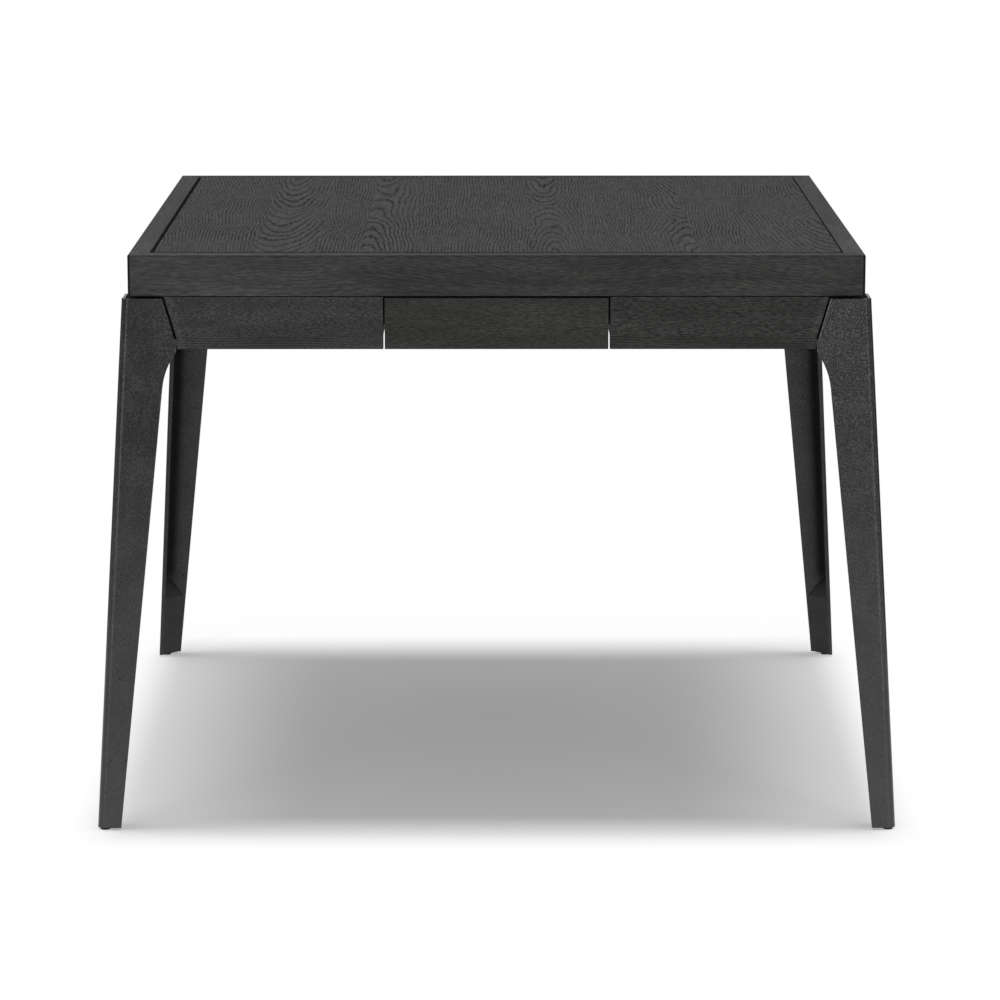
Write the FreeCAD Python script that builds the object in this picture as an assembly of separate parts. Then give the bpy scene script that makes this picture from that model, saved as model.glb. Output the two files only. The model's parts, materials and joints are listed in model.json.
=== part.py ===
import FreeCAD, Part
import math
import os

# A square mahjong table: a lift-out panel over a felt playing well, a shallow drawer on each side
# and four splayed metal legs. Millimetres, +Z up, front towards -Y.
# The origin is on the floor under the centre of the table.

# Whole table
table_height = 762.0
top_side = 964.0
top_thickness = 54.0
foot_spread = 1060.0         # across the outer faces of the feet
apron_height = 70.0
cut_overrun = 5.0            # how far every cutter passes the face that it opens

# Top frame, panel and playing well
rail_width = 27.0            # flat border seen round the panel
ledge_width = 12.0           # step in the rail that carries the panel
rail_round = 2.0
rail_corner_round = 4.0      # upright corners of the frame
rail_inner_round = 0.5
panel_thickness = 18.0
panel_gap = 3.5              # mean gap round the panel, room for fingertips
panel_shift_x = 1.5          # the loose panel lies towards the right
panel_shift_y = 1.5          # and towards the back
panel_round = 0.5
board_thickness = 15.0
board_lap = 10.0             # board's edge under the ledge
board_gap = 0.2
felt_thickness = 2.0
felt_gap = 0.5

# Legs
leg_outset = 7.8             # leg's outer face past the top's edge, at the underside of the top
wing_thickness = 6.0
foot_width = 31.5
waist_width = 60.0
waist_drop = 100.0            # below the underside of the top, as the next two
knee_width = 76.5
knee_drop = 68.0
haunch_top_width = 53.7
leg_top_drop = 2.6           # shadow gap between the leg's rim and the top
waist_radius = 97.0
knee_radius = 22.0
leg_corner_radius = 11.0
leg_inner_radius = 5.0
leg_edge_radius = 1.2
foot_fill_height = 95.0      # solid part of the foot at the wings' edges
foot_fill_rise = 40.0        # its top slopes up into the corner
flange_thickness = 8.0
flange_root = 42.0           # flange beside the wings, from the leg's corner
flange_reach = 104.0         # flange behind the aprons, from the leg's corner
flange_inset = 32.0
pad_inset = 12.0              # flange's pad stays inside the top's edge

# Glides under the feet
glide_radius = 6.5
glide_height = 3.0
glide_inset = 10.0
glide_pin_radius = 2.5
glide_pin_length = 14.0
pin_clearance = 0.05

# Aprons
apron_thickness = 20.0
apron_inset = 1.0            # apron's face behind the top's face
apron_round = 0.8
joint_gap = 1.6              # dark line between leg and apron
apron_plumb_rise = 12.0      # upright stretch of the apron's end, above its bottom edge
tongue_length = 12.0         # rebated end that laps behind the leg
tongue_rise = 4.0
tongue_thickness = 17.0

# Bearers that carry the drawers
bearer_thickness = 20.0
bearer_height = 54.0

# Drawers
drawer_width = 293.0         # drawer front
drawer_slit = 2.0            # gap at each side of the drawer front
drawer_head_gap = 2.3
drawer_depth = 280.0         # box behind the front and back drawers' fronts
drawer_rear_room = 12.5      # behind the left and right drawers, up to the long bearers
drawer_wall = 12.0
drawer_wall_height = 40.0
drawer_head_room = 7.0       # above the drawer's walls
drawer_floor = 6.0
drawer_floor_rise = 4.0      # floor's underside above the bottom of the walls
groove_depth = 5.0

# Ball slides
slide_length = 250.0
slide_setback = 6.0          # behind the apron's inner face
slide_depth = 10.2           # room between bearer and drawer wall
channel_height = 27.0
runner_height = 16.8
slide_sheet = 1.2
channel_lip = 1.5            # between channel's flanges and the drawer wall
runner_lip = 2.7             # between runner's flanges and the bearer
cage_sheet = 0.8
cage_length = 66.0
cage_start = 100.0           # from the slides' front end, with the drawer shut
cage_clearance = 0.35
ball_radius = 1.6
balls_per_row = 4

# Fasteners
bolt_radius = 3.0
bolt_head_radius = 5.0
bolt_head_height = 6.0
bolt_reach = 11.0            # into the top
bolt_clearance = 0.4
bolt_root_near = 24.0        # from the leg's corner, first pair of bolts
bolt_root_far = 36.0
bolt_tip_near = 46.0         # second pair
bolt_tip_far = 88.0
insert_radius = 4.5
insert_length = 12.5
fit_clearance = 0.1          # hole round an insert, dowel or screw
thread_clearance = 0.05
dowel_radius = 4.0
dowel_half_length = 14.0     # in each of the two pieces
dowel_shares = (0.2, 0.75)
screw_radius = 2.5
screw_head_radius = 4.5
screw_head_height = 4.0
screw_counterbore = 16.0
screw_reach = 10.0           # into the board
screw_wall = 1.0             # room round the head
long_screw_shares = (0.1, 0.36, 0.64, 0.9)
short_screw_shares = (0.2, 0.8)
slide_screw_radius = 1.75
slide_screw_head = 2.9
slide_screw_length = 12.0
slide_screw_shares = (0.1, 0.85)

# Levels and places worked out from the sizes above
half_top = top_side / 2
underside = table_height - top_thickness
ledge_level = table_height - panel_thickness
board_level = underside + board_thickness
rail_depth = rail_width + ledge_width
rail_foot = rail_depth - board_lap
well_half = half_top - rail_depth
board_half = half_top - rail_foot - board_gap
leg_top = underside - leg_top_drop
leg_splay = (foot_spread / 2 - half_top - leg_outset) / underside
apron_bottom = underside - apron_height
apron_face = half_top - apron_inset
apron_back = apron_face - apron_thickness
drawer_half = drawer_width / 2
bearer_inner = drawer_half + drawer_slit
bearer_outer = bearer_inner + bearer_thickness
bearer_bottom = underside - bearer_height
box_half = bearer_inner - slide_depth
box_top = underside - drawer_head_room
box_bottom = box_top - drawer_wall_height
floor_level = box_bottom + drawer_floor_rise
box_front = -apron_back
side_drawer_depth = apron_back - bearer_outer - drawer_rear_room
slide_centre = (box_top + box_bottom) / 2
slide_front = box_front + slide_setback

side_names = ("front", "right", "back", "left")
apron_end_names = (("left", "right"), ("front", "back"), ("right", "left"), ("back", "front"))
leg_names = ("back_right", "back_left", "front_left", "front_right")
up = FreeCAD.Vector(0, 0, 1)
origin = FreeCAD.Vector(0, 0, 0)


def point(x, y, z):
    return FreeCAD.Vector(x, y, z)


def block(low, high):
    size = high - low
    return Part.makeBox(size.x, size.y, size.z, low)


def rod(radius, length, base, direction=up):
    return Part.makeCylinder(radius, length, base, direction)


def turned(shape, quarters):
    copy = shape.copy()
    copy.rotate(origin, up, 90 * quarters)
    return copy


def mirrored(shape):
    return shape.mirror(origin, point(1, 0, 0))


def prism(points, travel):
    return Part.Face(Part.makePolygon(points + points[:1])).extrude(travel)


def solid_of(faces):
    flat = [Part.Face(Part.makePolygon(corners + corners[:1])) for corners in faces]
    return Part.Solid(Part.makeShell(flat))


# Wire through flat corners (across, height, radius), each corner rounded by its radius
def rounded_wire(corners, place):
    ends = []
    count = len(corners)
    for index, (across, height, radius) in enumerate(corners):
        here = point(across, height, 0)
        before = point(*corners[index - 1][:2], 0) - here
        after = point(*corners[(index + 1) % count][:2], 0) - here
        half_angle = before.getAngle(after) / 2
        reach = radius / math.tan(half_angle)
        middle = before.normalize() + after.normalize()
        bow = radius / math.sin(half_angle) - radius
        ends.append((here + before * reach, here + middle.normalize() * bow, here + after * reach))
    edges = []
    for index, (start, middle, end) in enumerate(ends):
        if corners[index][2] > 0:
            edges.append(Part.Arc(place(start), place(middle), place(end)).toShape())
        next_start = ends[(index + 1) % count][0]
        if (next_start - end).Length > cut_overrun / 1e6:
            edges.append(Part.LineSegment(place(end), place(next_start)).toShape())
    return Part.Wire(edges)


def on_front(flat):
    return point(flat.x, 0, flat.y)


def save(name, solids):
    shape = solids[0] if len(solids) == 1 else Part.makeCompound(solids)
    shape.exportStep("parts/" + name + ".step")
    print(name, len(shape.Solids), shape.isValid(), round(shape.Volume / 1000, 1))


# Plan of the leg's outer corner, which leans outwards towards the floor
def corner_at(height):
    return foot_spread / 2 - leg_splay * height


# Width of the haunch along its slanted upper edge
def haunch_width(height):
    rise = (leg_top - height) / (leg_top - underside + knee_drop)
    return haunch_top_width + (knee_width - haunch_top_width) * rise


# Bolt places at the back right leg, one pair beside the wings and one pair behind the aprons
def leg_bolt_places():
    corner = corner_at(underside)
    pairs = ((bolt_root_near, bolt_root_far), (bolt_tip_near, bolt_tip_far))
    return [(corner - a, corner - b) for near, far in pairs for a, b in ((near, far), (far, near))]


def apron_end(height):
    return corner_at(height) - haunch_width(height) - joint_gap


def dowel_places():
    length = apron_end(underside) - bearer_inner
    return [bearer_inner + length * share for share in dowel_shares]


# Leg of the back right corner
def make_wing(place, travel):
    levels = (glide_height, leg_top, leg_top, underside - knee_drop, underside - waist_drop, glide_height)
    widths = (0, 0, haunch_top_width, knee_width, waist_width, foot_width)
    radii = (0, 0, 0, knee_radius, waist_radius, 0)
    corners = [(corner_at(z) - w, z, r) for z, w, r in zip(levels, widths, radii)]
    return Part.Face(rounded_wire(corners, place)).extrude(travel)


def make_foot_fill():
    embed = wing_thickness / 2
    waist = underside - waist_drop
    low, high = [], []
    for ring, height, lift in ((low, glide_height, 0), (high, foot_fill_height, foot_fill_rise)):
        share = (height - glide_height) / (waist - glide_height)
        width = foot_width + (waist_width - foot_width) * share
        corner = corner_at(height)
        inner = corner_at(height + lift) - embed
        ring.append(point(corner - width, corner - embed, height))
        ring.append(point(inner, inner, height + lift))
        ring.append(point(corner - embed, corner - width, height))
    sides = [[low[i], low[(i + 1) % 3], high[(i + 1) % 3], high[i]] for i in range(3)]
    return solid_of([low, high] + sides)


def make_flange():
    corner = corner_at(underside)
    buried = corner - wing_thickness / 2
    root = corner - flange_root
    inset = corner - flange_inset
    reach = corner - flange_reach
    plan = [(buried, buried), (root, buried), (root, inset), (reach, inset)]
    plan += [(y, x) for x, y in reversed(plan[1:])]
    bottom = underside - flange_thickness
    points = [point(x, y, bottom) for x, y in plan]
    plate = prism(points, up * (leg_top - leg_edge_radius - bottom))
    raised = prism(points, up * flange_thickness)
    edge = half_top - pad_inset
    inside = block(point(0, 0, bottom), point(edge, edge, underside))
    return plate.fuse(raised.common(inside))


# Depth of a point inside the leg's outer faces
def leg_depth(place):
    return corner_at(place.z) - max(place.x, place.y)


def make_leg():
    front = make_wing(lambda flat: point(flat.x, corner_at(flat.y), flat.y), point(0, -wing_thickness, 0))
    side = make_wing(lambda flat: point(corner_at(flat.y), flat.x, flat.y), point(-wing_thickness, 0, 0))
    leg = front.fuse(side).removeSplitter()
    tolerance = leg_edge_radius / 10

    def spine(edge, depth):
        ends = [vertex.Point for vertex in edge.Vertexes]
        return all(abs(end.x - end.y) < tolerance and abs(leg_depth(end) - depth) < tolerance for end in ends)

    def rim(edge):
        first, last = [vertex.Point for vertex in edge.Vertexes]
        under_foot = max(first.z, last.z) < glide_height + tolerance
        whole_length = abs(first.z - last.z) > leg_top - glide_height - tolerance
        across_wing = abs(leg_depth(first) - leg_depth(last)) > wing_thickness / 2
        return not (under_foot or whole_length or across_wing)
    leg = leg.makeFillet(leg_corner_radius, [edge for edge in leg.Edges if spine(edge, 0)])
    leg = leg.makeFillet(leg_inner_radius, [edge for edge in leg.Edges if spine(edge, wing_thickness)])
    leg = leg.makeFillet(leg_edge_radius, [edge for edge in leg.Edges if rim(edge)])
    leg = leg.fuse(make_foot_fill()).fuse(make_flange()).removeSplitter()
    for x, y in leg_bolt_places():
        leg = leg.cut(rod(bolt_radius + bolt_clearance, flange_thickness + 2 * cut_overrun,
                          point(x, y, underside - flange_thickness - cut_overrun)))
    place = corner_at(glide_height) - glide_inset
    return leg.cut(rod(glide_pin_radius + pin_clearance, glide_pin_length, point(place, place, glide_height)))


def make_glide():
    place = corner_at(glide_height) - glide_inset
    disc = rod(glide_radius, glide_height, point(place, place, 0))
    return disc.fuse(rod(glide_pin_radius, glide_pin_length, point(place, place, 0))).removeSplitter()


# Fasteners and inserts of the back right leg
def make_leg_bolts():
    bolts = []
    for x, y in leg_bolt_places():
        seat = underside - flange_thickness
        head = rod(bolt_head_radius, bolt_head_height, point(x, y, seat - bolt_head_height))
        shank = rod(bolt_radius, flange_thickness + bolt_reach, point(x, y, seat))
        bolts.append(head.fuse(shank).removeSplitter())
    return bolts


def make_leg_inserts():
    inserts = []
    for x, y in leg_bolt_places():
        base = point(x, y, underside)
        sleeve = rod(insert_radius, insert_length, base)
        inserts.append(sleeve.cut(rod(bolt_radius + thread_clearance, insert_length, base)))
    return inserts


def insert_holes():
    radius = insert_radius + fit_clearance
    base_level = underside - cut_overrun
    length = insert_length + fit_clearance + cut_overrun
    holes = [rod(radius, length, point(x, y, base_level)) for x, y in leg_bolt_places()]
    return [turned(hole, quarter) for hole in holes for quarter in range(4)]


# Dowels that hold the front pair of aprons under the rail
def make_dowels(clearance=0.0):
    middle = -(apron_face + apron_back) / 2
    length = 2 * (dowel_half_length + clearance)
    base_level = underside - dowel_half_length - clearance
    return [rod(dowel_radius + clearance, length, point(x * sign, middle, base_level))
            for x in dowel_places() for sign in (-1, 1)]


# Top frame rail along the front, mitred at both ends
def make_rail():
    profile = [(0, underside, rail_round), (rail_foot, underside, 0), (rail_foot, board_level, 0),
               (rail_depth, board_level, 0), (rail_depth, ledge_level, 0), (rail_width, ledge_level, 0),
               (rail_width, table_height, rail_inner_round), (0, table_height, rail_round)]
    wire = rounded_wire(profile, lambda flat: point(-half_top, flat.x - half_top, flat.y))
    rail = Part.Face(wire).extrude(point(top_side, 0, 0))
    tip = well_half - cut_overrun
    mitre = prism([point(-half_top, -half_top, underside), point(half_top, -half_top, underside),
                   point(tip, -tip, underside), point(-tip, -tip, underside)], up * top_thickness)
    corners = ((-1, -1), (1, -1), (1, 1), (-1, 1))
    plan = [(x * half_top, y * half_top, rail_corner_round) for x, y in corners]
    outline = Part.Face(rounded_wire(plan, lambda flat: point(flat.x, flat.y, underside)))
    return rail.common(mitre).common(outline.extrude(up * top_thickness))


def make_panel():
    half = half_top - rail_width - panel_gap
    shift = point(panel_shift_x, panel_shift_y, 0)
    panel = block(point(-half, -half, ledge_level) + shift,
                  point(half, half, ledge_level + panel_thickness) + shift)
    crown = [edge for edge in panel.Edges
             if edge.BoundBox.ZMin > ledge_level + panel_thickness - panel_round / 2]
    return panel.makeFillet(panel_round, crown)


# Apron board to the right of the front drawer, with its slanted end and the tongue behind the leg
def make_apron():
    plumb = apron_bottom + apron_plumb_rise
    outline = [(bearer_inner, apron_bottom), (bearer_inner, underside), (apron_end(underside), underside),
               (apron_end(plumb), plumb), (apron_end(plumb), apron_bottom)]
    face = prism([point(x, -apron_face, z) for x, z in outline], point(0, apron_thickness, 0))
    rim = [edge for edge in face.Edges if edge.BoundBox.YMax < -apron_face + apron_round / 2]
    face = face.makeFillet(apron_round, rim)
    start = apron_bottom + tongue_rise
    tongue_low = apron_end(plumb) - cut_overrun
    inner = -apron_back - tongue_thickness
    tongue = [(tongue_low, start), (tongue_low, underside),
              (apron_end(underside) + tongue_length, underside), (apron_end(start) + tongue_length, start)]
    lap = prism([point(x, inner, z) for x, z in tongue], point(0, tongue_thickness, 0))
    return face.fuse(lap).removeSplitter()


# Screw standing in the underside of a bearer, and the hole for it
def make_screw(x, y):
    seat = bearer_bottom + screw_counterbore
    head = rod(screw_head_radius, screw_head_height, point(x, y, seat - screw_head_height))
    shank = rod(screw_radius, underside + screw_reach - seat, point(x, y, seat))
    return head.fuse(shank).removeSplitter()


def screw_hole(x, y):
    seat = bearer_bottom + screw_counterbore
    bore = rod(screw_head_radius + screw_wall, screw_counterbore + cut_overrun,
               point(x, y, bearer_bottom - cut_overrun))
    length = underside + screw_reach + fit_clearance - seat
    return bore.fuse(rod(screw_radius + fit_clearance, length, point(x, y, seat)))


def long_screw_places():
    x = (bearer_inner + bearer_outer) / 2
    return [(x, apron_back * (2 * share - 1)) for share in long_screw_shares]


def short_screw_places():
    y = (bearer_inner + bearer_outer) / 2
    length = apron_back - bearer_outer
    return [(bearer_outer + length * share, y) for share in short_screw_shares]


# Slide screws of the front drawer's right channel run along +X into the bearer
def slide_screw_places():
    return [slide_front + slide_length * share for share in slide_screw_shares]


def make_slide_screw(y, clearance=0.0):
    base = point(bearer_inner - slide_sheet, y, slide_centre)
    along = point(1, 0, 0)
    head = Part.makeCone(slide_screw_head + clearance, slide_screw_radius + clearance, slide_sheet,
                         base, along)
    shank = rod(slide_screw_radius + clearance, slide_screw_length, base, along)
    return head.fuse(shank).removeSplitter()


# Channel section along Y: web towards the given side, flanges above and below
def channel(web_x, lip_x, height, sheet, start, length):
    low, high = sorted((web_x, lip_x))
    bottom = slide_centre - height / 2
    outer = block(point(low, start, bottom), point(high, start + length, bottom + height))
    inset = sheet if lip_x > web_x else -sheet
    hollow_low, hollow_high = sorted((web_x + inset, lip_x + math.copysign(cut_overrun, inset)))
    hollow = block(point(hollow_low, start - cut_overrun, bottom + sheet),
                   point(hollow_high, start + length + cut_overrun, bottom + height - sheet))
    return outer.cut(hollow)


# Right slide of the front drawer: fixed channel, moving runner and the ball cage between them
def make_channel():
    bar = channel(bearer_inner, box_half + channel_lip, channel_height, slide_sheet, slide_front, slide_length)
    for y in slide_screw_places():
        bar = bar.cut(make_slide_screw(y, fit_clearance))
    return bar


def make_runner():
    return channel(box_half, bearer_inner - runner_lip, runner_height, slide_sheet, slide_front, slide_length)


def make_cage():
    web = bearer_inner - slide_sheet - cage_clearance
    race = (channel_height / 2 - slide_sheet + runner_height / 2) / 2
    lip = box_half + slide_sheet + cage_clearance
    start = slide_front + cage_start
    cage = channel(web, lip, 2 * race + cage_sheet, cage_sheet, start, cage_length)
    across = (box_half + slide_sheet + bearer_inner - runner_lip) / 2
    pitch = cage_length / balls_per_row
    for number in range(balls_per_row):
        for sign in (-1, 1):
            centre = point(across, start + pitch * (number + 0.5), slide_centre + sign * race)
            cage = cage.fuse(Part.makeSphere(ball_radius, centre))
    return cage


# Pieces of the front drawer, whose box ends at box_rear
def make_drawer_front():
    front = block(point(-drawer_half, -apron_face, apron_bottom),
                  point(drawer_half, -apron_back, underside - drawer_head_gap))
    rim = [edge for edge in front.Edges if edge.BoundBox.YMax < -apron_face + apron_round / 2]
    groove_half = box_half - drawer_wall + groove_depth
    groove = block(point(-groove_half, box_front - groove_depth, floor_level),
                   point(groove_half, box_front + cut_overrun, floor_level + drawer_floor))
    return front.makeFillet(apron_round, rim).cut(groove)


def make_drawer_wall(box_rear):
    wall = block(point(box_half - drawer_wall, box_front, box_bottom), point(box_half, box_rear, box_top))
    groove = block(point(box_half - drawer_wall - cut_overrun, box_front - cut_overrun, floor_level),
                   point(box_half - drawer_wall + groove_depth, box_rear + cut_overrun,
                         floor_level + drawer_floor))
    return wall.cut(groove)


def make_drawer_back(box_rear):
    half = box_half - drawer_wall
    return block(point(-half, box_rear - drawer_wall, floor_level + drawer_floor),
                 point(half, box_rear, box_top))


def make_drawer_floor(box_rear):
    half = box_half - drawer_wall + groove_depth
    return block(point(-half, box_front - groove_depth, floor_level),
                 point(half, box_rear, floor_level + drawer_floor))


# Build and write every node
os.makedirs("parts", exist_ok=True)
sides = range(4)

dowel_holes = make_dowels(fit_clearance)
bolt_holes = insert_holes()
rail = make_rail()
for quarter, side in enumerate(side_names):
    piece = turned(rail, quarter)
    for hole in bolt_holes + [turned(hole, quarter) for hole in dowel_holes]:
        piece = piece.cut(hole) if piece.BoundBox.intersect(hole.BoundBox) else piece
    save(side + "_rail", [piece])

screw_places = long_screw_places() + [(-x, y) for x, y in long_screw_places()]
for sign_x in (-1, 1):
    for sign_y in (-1, 1):
        screw_places += [(x * sign_x, y * sign_y) for x, y in short_screw_places()]
board = block(point(-board_half, -board_half, underside), point(board_half, board_half, board_level))
for hole in bolt_holes + [screw_hole(x, y) for x, y in screw_places]:
    board = board.cut(hole)
save("playing_board", [board])
felt_half = well_half - felt_gap
save("playing_felt", [block(point(-felt_half, -felt_half, board_level),
                            point(felt_half, felt_half, board_level + felt_thickness))])
save("top_panel", [make_panel()])

leg = make_leg()
for quarter, corner in enumerate(leg_names):
    save(corner + "_leg", [turned(leg, quarter)])
save("foot_glides", [turned(make_glide(), quarter) for quarter in sides])
save("leg_bolts", [turned(bolt, quarter) for quarter in sides for bolt in make_leg_bolts()])
save("leg_inserts", [turned(sleeve, quarter) for quarter in sides for sleeve in make_leg_inserts()])

apron = make_apron()
for hole in dowel_holes:
    apron = apron.cut(hole)
aprons = (mirrored(apron), apron)
for quarter, side in enumerate(side_names):
    for board_shape, end in zip(aprons, apron_end_names[quarter]):
        save(side + "_apron_" + end, [turned(board_shape, quarter)])
save("apron_dowels", [turned(dowel, quarter) for quarter in sides for dowel in make_dowels()])

slide_screws = [make_slide_screw(y) for y in slide_screw_places()]
slide_screws += [mirrored(screw) for screw in slide_screws]
slide_screws = [turned(screw, quarter) for quarter in sides for screw in slide_screws]
slide_screw_holes = [make_slide_screw(y, fit_clearance) for y in slide_screw_places()]
slide_screw_holes += [mirrored(hole) for hole in slide_screw_holes]
slide_screw_holes = [turned(hole, quarter) for quarter in sides for hole in slide_screw_holes]
bearers = {}
for sign, name in ((-1, "left"), (1, "right")):
    low, high = sorted((sign * bearer_inner, sign * bearer_outer))
    bearers[name + "_long_bearer"] = block(point(low, -apron_back, bearer_bottom),
                                           point(high, apron_back, underside))
    reach_low, reach_high = sorted((sign * bearer_outer, sign * apron_back))
    for end_sign, end in ((-1, "front"), (1, "back")):
        near, far = sorted((end_sign * bearer_inner, end_sign * bearer_outer))
        bearers[name + "_" + end + "_bearer"] = block(point(reach_low, near, bearer_bottom),
                                                      point(reach_high, far, underside))
for name, bearer in bearers.items():
    for hole in [screw_hole(x, y) for x, y in screw_places] + slide_screw_holes:
        bearer = bearer.cut(hole) if bearer.BoundBox.intersect(hole.BoundBox) else bearer
    save(name, [bearer])
save("bearer_screws", [make_screw(x, y) for x, y in screw_places])
save("slide_screws", slide_screws)

pair = (make_channel(), mirrored(make_channel()))
save("slide_channels", [turned(bar, quarter) for quarter in sides for bar in pair])
cages = (make_cage(), mirrored(make_cage()))
for quarter, side in enumerate(side_names):
    box_rear = box_front + (side_drawer_depth if side in ("left", "right") else drawer_depth)
    drawer_pieces = {"front": [make_drawer_front()],
                     "left_wall": [mirrored(make_drawer_wall(box_rear))],
                     "right_wall": [make_drawer_wall(box_rear)],
                     "back": [make_drawer_back(box_rear)],
                     "floor": [make_drawer_floor(box_rear)],
                     "runners": [make_runner(), mirrored(make_runner())]}
    for name, solids in drawer_pieces.items():
        save(side + "_drawer_" + name, [turned(solid, quarter) for solid in solids])
    save(side + "_ball_cages", [turned(cage, quarter) for cage in cages])
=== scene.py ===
import json
import math
import bpy
import numpy as np
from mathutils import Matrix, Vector


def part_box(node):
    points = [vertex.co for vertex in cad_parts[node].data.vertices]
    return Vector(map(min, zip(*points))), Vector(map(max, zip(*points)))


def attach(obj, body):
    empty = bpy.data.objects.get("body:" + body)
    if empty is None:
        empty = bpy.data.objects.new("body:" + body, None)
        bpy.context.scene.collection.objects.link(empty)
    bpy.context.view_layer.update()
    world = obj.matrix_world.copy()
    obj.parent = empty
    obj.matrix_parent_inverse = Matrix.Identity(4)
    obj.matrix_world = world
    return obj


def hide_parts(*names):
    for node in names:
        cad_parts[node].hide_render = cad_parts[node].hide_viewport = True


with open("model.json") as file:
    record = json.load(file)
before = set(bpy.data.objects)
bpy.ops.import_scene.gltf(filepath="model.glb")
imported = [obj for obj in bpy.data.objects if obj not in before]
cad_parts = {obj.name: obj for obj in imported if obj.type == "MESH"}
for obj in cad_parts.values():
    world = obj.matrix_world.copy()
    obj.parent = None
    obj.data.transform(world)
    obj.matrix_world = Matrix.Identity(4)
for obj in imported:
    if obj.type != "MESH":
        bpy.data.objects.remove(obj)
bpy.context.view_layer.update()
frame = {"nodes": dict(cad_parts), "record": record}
nodes = frame["nodes"]
scene = bpy.context.scene
scene.view_settings.view_transform = "Standard"
print("frame loaded:", len(nodes), "nodes")

# Camera at the photograph's angle, fitted to the top's corners, the legs and the glides
cameraFit = {
    "place": (-0.005, -5.767, 1.439),
    "tiltDown": 10.734,         # degrees
    "turn": 0.103,              # degrees to the right
    "focalPixels": 4078.7,      # on an image 1000 wide
    "imageWidth": 1000.0,
    "sensorWidth": 36.0,        # millimetres
    "clipEnd": 100.0,
}


def addCamera(fit):
    data = bpy.data.cameras.new("camera")
    data.sensor_width = fit["sensorWidth"]
    data.lens = fit["focalPixels"] / fit["imageWidth"] * fit["sensorWidth"]
    data.clip_end = fit["clipEnd"]
    cam = bpy.data.objects.new("camera", data)
    cam.location = fit["place"]
    cam.rotation_euler = (math.radians(90 - fit["tiltDown"]), 0, -math.radians(fit["turn"]))
    scene.collection.objects.link(cam)
    scene.camera = cam


addCamera(cameraFit)
print("camera placed")

# A broad lamp high above, a fill by the camera, a low lamp off each front corner and a pale world
studio = {
    "overheadPower": 233.0,
    "overheadPlace": (0.0, -0.04, 6.0),
    "overheadSize": (5.0, 1.3),
    "overheadAim": (0.0, 0.0, 0.0),
    "fillPower": 45.0,
    "fillPlace": (0.8, -6.2, 1.5),
    "fillSize": (2.2, 1.2),
    "cornerPowers": (19.5, 24.0),   # left, right
    "cornerPlace": (2.65, -3.6, 0.5),
    "cornerSize": (1.0, 0.9),
    "aim": (0.0, -0.3, 0.45),       # of the fill and the corner lamps
    "worldStrength": 0.34,
    "worldSides": 0.05,             # as from dark flags left and right
    "flagSpan": (0.45, 0.9),        # how far aside a ray points where a flag begins and is full
    "whiteSpan": (-0.1, 0.3),       # how far back it points where the seen backdrop turns white
    "floorHalf": 30.0,
    "floorColor": 0.80,
    "floorSeen": 0.99,              # colour and glow that camera and mirror rays meet
    "floorGlow": 0.15,
    "whiteAside": (0.48, 0.575),    # metres from the centre, plain white further out
    "whiteAhead": (0.54, 0.68),
    "whiteBehind": (0.66, 0.90),
}


def grey(value):
    return (value, value, value, 1)


def addNode(tree, kind, wires=None, **settings):
    made = tree.nodes.new(kind)
    for name, value in settings.items():
        setattr(made, name, value)
    for key, value in (wires or {}).items():
        if isinstance(value, bpy.types.NodeSocket):
            tree.links.new(value, made.inputs[key])
        else:
            made.inputs[key].default_value = value
    return made


def calc(tree, operation, *values, clamp=False):
    wires = dict(enumerate(values))
    return addNode(tree, "ShaderNodeMath", wires, operation=operation, use_clamp=clamp).outputs[0]


def times(tree, product, *others):
    for other in others:
        product = calc(tree, "MULTIPLY", product, other)
    return product


def calcVector(tree, operation, *vectors):
    wires = dict(enumerate(vectors))
    return addNode(tree, "ShaderNodeVectorMath", wires, operation=operation).outputs[0]


def axesOf(tree, vector):
    return addNode(tree, "ShaderNodeSeparateXYZ", {0: vector}).outputs


def mixColor(tree, factor, first, second, blend="MIX"):
    wires = {0: factor, 6: first, 7: second}
    return addNode(tree, "ShaderNodeMix", wires, data_type="RGBA", blend_type=blend).outputs[2]


def rampOf(tree, factor, stops, interpolation="LINEAR"):
    made = addNode(tree, "ShaderNodeValToRGB", {0: factor})
    ramp = made.color_ramp
    ramp.interpolation = interpolation
    while len(ramp.elements) < len(stops):
        ramp.elements.new(1.0)
    for element, (place, value) in zip(ramp.elements, stops):
        element.position = place
        element.color = (*value, 1) if isinstance(value, tuple) else grey(value)
    return made.outputs[0]


def rangeOf(tree, value, low, high, toLow=0.0, toHigh=1.0, smooth=True):
    kind = "SMOOTHSTEP" if smooth else "LINEAR"
    wires = {0: value, 1: low, 2: high, 3: toLow, 4: toHigh}
    return addNode(tree, "ShaderNodeMapRange", wires, interpolation_type=kind).outputs[0]


def noiseOf(tree, vector, scale, detail=2.0, rough=0.5):
    wires = {"Vector": vector, "Scale": scale, "Detail": detail, "Roughness": rough}
    return addNode(tree, "ShaderNodeTexNoise", wires).outputs


def stretched(tree, vector, scale):
    return calcVector(tree, "MULTIPLY", vector, scale)


def rayTest(tree):
    path = addNode(tree, "ShaderNodeLightPath").outputs
    seen = calc(tree, "MAXIMUM", path["Is Camera Ray"], path["Is Glossy Ray"])
    return calc(tree, "MAXIMUM", seen, path["Is Transmission Ray"])


def addSoftbox(name, place, aim, size, power, shape="RECTANGLE"):
    data = bpy.data.lights.new(name, "AREA")
    data.shape = shape
    data.size, data.size_y = size
    data.energy = power
    lamp = bpy.data.objects.new(name, data)
    lamp.location = place
    lamp.rotation_euler = (Vector(aim) - Vector(place)).to_track_quat("-Z", "Y").to_euler()
    scene.collection.objects.link(lamp)


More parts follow.
